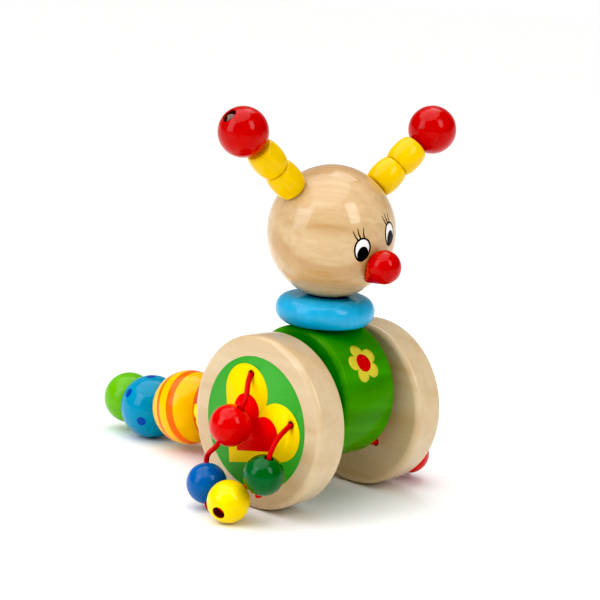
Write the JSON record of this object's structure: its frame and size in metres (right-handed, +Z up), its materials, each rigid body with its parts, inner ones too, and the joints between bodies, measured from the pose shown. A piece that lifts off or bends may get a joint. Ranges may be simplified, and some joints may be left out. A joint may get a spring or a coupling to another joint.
{
  "type": "pull along toy",
  "caption": "Wooden pull-along creature: barrel body on big wheels with bead loops, turning neck ring and ball head with beaded antennae, and a tail of nested beads",
  "frame": {"origin": "on the ground, under the middle of the toy measured without its loose bead loops", "axes": "+X is the way the toy is pulled, +Y is its left, along the axle, +Z is up"},
  "size_m": [0.1908, 0.1473, 0.1834],
  "materials": {
    "natural_wood": "clear satin varnish over pale close-grained wood",
    "green_body_paint": "glossy transparent leaf green stain and lacquer on wood",
    "red_paint": "glossy red lacquer on wood",
    "yellow_paint": "glossy yellow lacquer on wood",
    "amber_paint": "glossy warm yellow lacquer on wood",
    "blue_paint": "glossy royal blue lacquer on wood",
    "sky_blue_paint": "glossy sky blue lacquer on wood",
    "teal_blue_paint": "glossy teal blue lacquer on wood",
    "dark_green_paint": "glossy dark green lacquer on wood",
    "apple_green_paint": "glossy apple green lacquer on wood",
    "print_green": "screen-printed leaf green",
    "print_yellow": "screen-printed yellow",
    "print_red": "screen-printed red",
    "print_black": "screen-printed black",
    "print_white": "screen-printed white",
    "red_cord": "matt braided red polyester cord",
    "elastic_cord": "off-white braided elastic cord"
  },
  "bodies": {
    "root": {"body_barrel": "green_body_paint", "tail_cord_root": "elastic_cord"},
    "wheelset": {"axle": "natural_wood", "wheel_right": "natural_wood", "wheel_left": "natural_wood", "wheel_spacer_right": "natural_wood", "wheel_spacer_left": "natural_wood", "wheel_cord_right": "red_cord", "wheel_cord_left": "red_cord"},
    "neck_ring": {"neck_ring": "sky_blue_paint"},
    "head": {"head_ball": "natural_wood", "neck_dowel": "natural_wood", "nose": "red_paint", "antenna_right_cord": "elastic_cord", "antenna_left_cord": "elastic_cord"},
    "antenna_right_lower_bead": {"antenna_right_lower_bead": "yellow_paint"},
    "antenna_right_upper_bead": {"antenna_right_upper_bead": "yellow_paint"},
    "antenna_right_ball": {"antenna_right_ball": "red_paint"},
    "antenna_left_lower_bead": {"antenna_left_lower_bead": "yellow_paint"},
    "antenna_left_upper_bead": {"antenna_left_upper_bead": "yellow_paint"},
    "antenna_left_ball": {"antenna_left_ball": "red_paint"},
    "tail_red": {"tail_bead_red": "red_paint", "tail_cord_red": "elastic_cord"},
    "tail_yellow": {"tail_bead_yellow": "amber_paint", "tail_cord_yellow": "elastic_cord"},
    "tail_blue": {"tail_bead_blue": "teal_blue_paint", "tail_cord_blue": "elastic_cord"},
    "tail_green": {"tail_bead_green": "apple_green_paint", "tail_cord_green": "elastic_cord"},
    "loop_right": {"loop_cord_right": "red_cord", "loop_right_bead_yellow": "yellow_paint"},
    "loop_right_bead_red": {"loop_right_bead_red": "red_paint"},
    "loop_right_bead_blue": {"loop_right_bead_blue": "blue_paint"},
    "loop_right_bead_green": {"loop_right_bead_green": "dark_green_paint"},
    "loop_left": {"loop_cord_left": "red_cord", "loop_left_bead_yellow": "yellow_paint"},
    "loop_left_bead_red": {"loop_left_bead_red": "red_paint"},
    "loop_left_bead_blue": {"loop_left_bead_blue": "blue_paint"},
    "loop_left_bead_green": {"loop_left_bead_green": "dark_green_paint"}
  },
  "joints": [
    {"name": "wheels_roll", "type": "hinge", "parent": "root", "child": "wheelset", "pos_m": [0.05236, 0.00144, 0.04], "axis": [0, 1, 0], "continuous": true},
    {"name": "ring_turn", "type": "hinge", "parent": "root", "child": "neck_ring", "pos_m": [0.05236, 0.00144, 0.088], "axis": [0, 0, 1], "continuous": true},
    {"name": "head_turn", "type": "hinge", "parent": "root", "child": "head", "pos_m": [0.05236, 0.00144, 0.11], "axis": [0, 0, 1], "continuous": true},
    {"name": "antenna_right_lower_bead_spin", "type": "hinge", "parent": "head", "child": "antenna_right_lower_bead", "pos_m": [0.04937, -0.02116, 0.14495], "axis": [-0.1292, -0.7401, 0.66], "continuous": true},
    {"name": "antenna_right_upper_bead_spin", "type": "hinge", "parent": "head", "child": "antenna_right_upper_bead", "pos_m": [0.04757, -0.03144, 0.15413], "axis": [-0.1292, -0.7401, 0.66], "continuous": true},
    {"name": "antenna_right_ball_spin", "type": "hinge", "parent": "head", "child": "antenna_right_ball", "pos_m": [0.04432, -0.05009, 0.17076], "axis": [-0.1292, -0.7401, 0.66], "continuous": true},
    {"name": "antenna_left_lower_bead_spin", "type": "hinge", "parent": "head", "child": "antenna_left_lower_bead", "pos_m": [0.06032, 0.02275, 0.14557], "axis": [0.2292, 0.697, 0.6794], "continuous": true},
    {"name": "antenna_left_upper_bead_spin", "type": "hinge", "parent": "head", "child": "antenna_left_upper_bead", "pos_m": [0.0635, 0.03243, 0.15501], "axis": [0.2292, 0.697, 0.6794], "continuous": true},
    {"name": "antenna_left_ball_spin", "type": "hinge", "parent": "head", "child": "antenna_left_ball", "pos_m": [0.06928, 0.05, 0.17213], "axis": [0.2292, 0.697, 0.6794], "continuous": true},
    {"name": "tail_red_swing", "type": "hinge", "parent": "root", "child": "tail_red", "pos_m": [0.00059, 0.00144, 0.02866], "axis": [0, 0, 1], "range_deg": [-18, 18], "stiffness_Nm_per_rad": 0.35},
    {"name": "tail_yellow_lift", "type": "hinge", "parent": "tail_red", "child": "tail_yellow", "pos_m": [-0.03521, 0.00144, 0.02203], "axis": [0, 1, 0], "range_deg": [-18, 18], "stiffness_Nm_per_rad": 0.3},
    {"name": "tail_blue_swing", "type": "hinge", "parent": "tail_yellow", "child": "tail_blue", "pos_m": [-0.06343, 0.00144, 0.0163], "axis": [0, 0, 1], "range_deg": [-18, 18], "stiffness_Nm_per_rad": 0.12},
    {"name": "tail_green_lift", "type": "hinge", "parent": "tail_blue", "child": "tail_green", "pos_m": [-0.0815, 0.00144, 0.01725], "axis": [0, 1, 0], "range_deg": [-18, 18], "stiffness_Nm_per_rad": 0.05},
    {"name": "loop_right_swing", "type": "hinge", "parent": "wheelset", "child": "loop_right", "pos_m": [0.06131, -0.04136, 0.05298], "axis": [-0.8231, 0, 0.5678], "range_deg": [0, 60]},
    {"name": "loop_right_bead_red_spin", "type": "hinge", "parent": "loop_right", "child": "loop_right_bead_red", "pos_m": [0.04946, -0.05376, 0.0404], "axis": [-0.4162, -0.2538, -0.8731], "continuous": true},
    {"name": "loop_right_bead_blue_spin", "type": "hinge", "parent": "loop_right", "child": "loop_right_bead_blue", "pos_m": [0.04016, -0.05766, 0.0119], "axis": [0.3434, -0.2498, -0.9054], "continuous": true},
    {"name": "loop_right_bead_green_spin", "type": "hinge", "parent": "loop_right", "child": "loop_right_bead_green", "pos_m": [0.07526, -0.05766, 0.0244], "axis": [0.3011, 0, 0.9536], "continuous": true},
    {"name": "loop_left_swing", "type": "hinge", "parent": "wheelset", "child": "loop_left", "pos_m": [0.06812, 0.04424, 0.03939], "axis": [-0.0384, 0, -0.9993], "range_deg": [0, 25]},
    {"name": "loop_left_bead_red_spin", "type": "hinge", "parent": "loop_left", "child": "loop_left_bead_red", "pos_m": [0.06626, 0.05474, 0.0131], "axis": [-0.3006, 0.501, -0.8116], "continuous": true},
    {"name": "loop_left_bead_blue_spin", "type": "hinge", "parent": "loop_left", "child": "loop_left_bead_blue", "pos_m": [0.04586, 0.05944, 0.0099], "axis": [-0.8537, -0.4017, 0.3314], "continuous": true},
    {"name": "loop_left_bead_green_spin", "type": "hinge", "parent": "loop_left", "child": "loop_left_bead_green", "pos_m": [0.04136, 0.05594, 0.038], "axis": [0.7502, -0.2001, 0.6302], "continuous": true}
  ]
}
